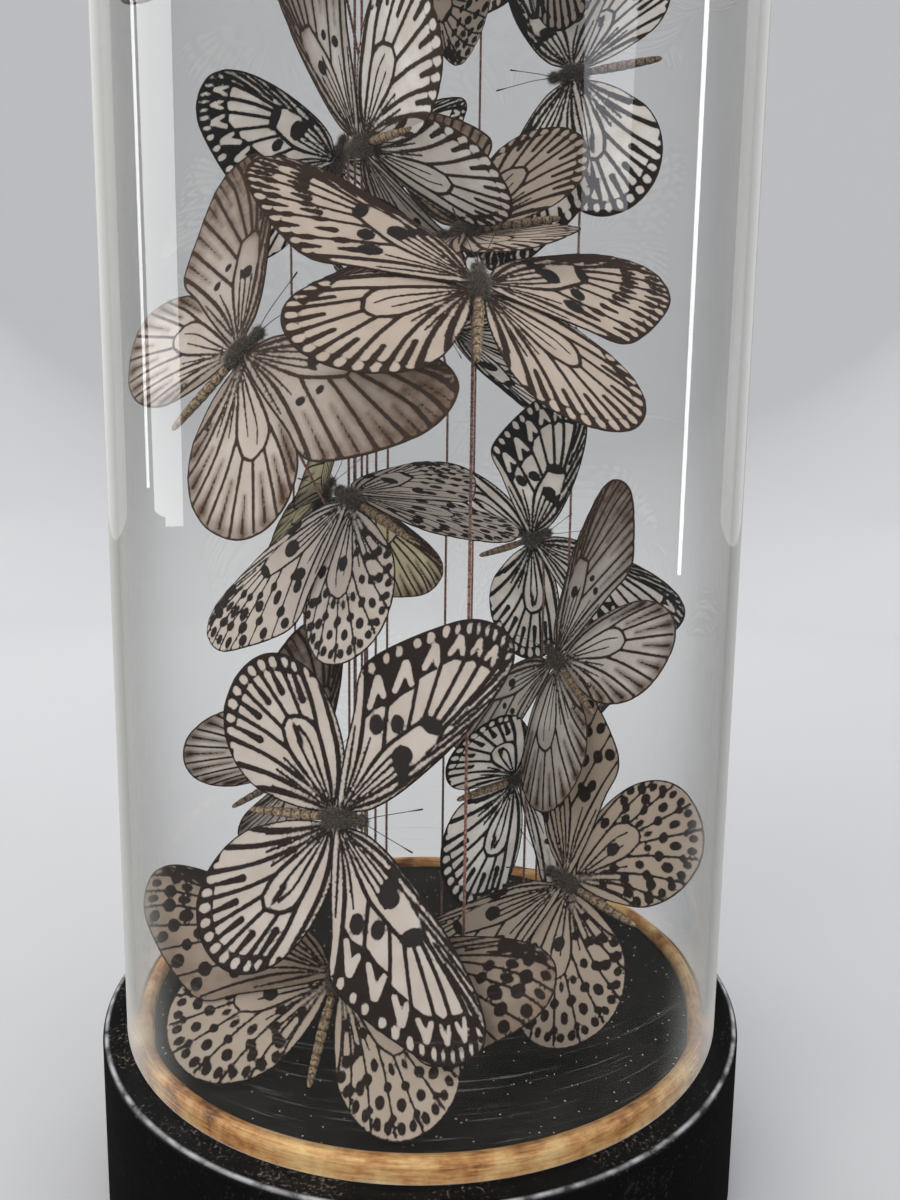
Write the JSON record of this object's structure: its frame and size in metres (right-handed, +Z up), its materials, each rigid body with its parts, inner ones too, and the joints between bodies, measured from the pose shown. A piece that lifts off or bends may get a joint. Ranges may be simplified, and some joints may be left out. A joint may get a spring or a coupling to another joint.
{
  "type": "insect in glass dome",
  "caption": "Tall glass dome on a round black plinth, with dried tree-nymph butterflies held at many heights on thin upright wires.",
  "frame": {"origin": "middle of the plinth's flat underside", "axes": "+Z up along the dome's axis; -Y is the front, the side the largest butterflies face; +X to the right seen from the front"},
  "size_m": [0.215, 0.215, 0.505],
  "materials": {
    "plinth": "turned wood under satin black paint",
    "floor_board": "matt black, lightly dusty",
    "gilt_ring": "aged gilt, golden to rust brown",
    "glass": "clear blown glass",
    "butterfly": "dry scaled wings, pale with dark-brown veins and spots",
    "covered_wire": "thin reddish-brown covered wire with a black bead"
  },
  "bodies": {
    "root": {"plinth": "plinth", "floor_board": "floor_board", "gilt_ring": "gilt_ring", "glass_dome": "glass", "butterfly_01": "butterfly", "butterfly_02": "butterfly", "butterfly_03": "butterfly", "butterfly_04": "butterfly", "butterfly_05": "butterfly", "butterfly_06": "butterfly", "butterfly_07": "butterfly", "butterfly_08": "butterfly", "butterfly_09": "butterfly", "butterfly_10": "butterfly", "butterfly_11": "butterfly", "butterfly_12": "butterfly", "butterfly_13": "butterfly", "butterfly_14": "butterfly", "butterfly_15": "butterfly", "butterfly_16": "butterfly", "butterfly_17": "butterfly", "butterfly_18": "butterfly", "butterfly_19": "butterfly", "butterfly_20": "butterfly", "butterfly_21": "butterfly", "butterfly_22": "butterfly", "wire_01": "covered_wire", "wire_02": "covered_wire", "wire_03": "covered_wire", "wire_04": "covered_wire", "wire_05": "covered_wire", "wire_06": "covered_wire", "wire_07": "covered_wire", "wire_08": "covered_wire", "wire_09": "covered_wire", "wire_10": "covered_wire", "wire_11": "covered_wire", "wire_12": "covered_wire", "wire_13": "covered_wire", "wire_14": "covered_wire", "wire_15": "covered_wire", "wire_16": "covered_wire", "wire_17": "covered_wire", "wire_18": "covered_wire", "wire_19": "covered_wire", "wire_20": "covered_wire", "wire_21": "covered_wire", "wire_22": "covered_wire"}
  },
  "joints": []
}
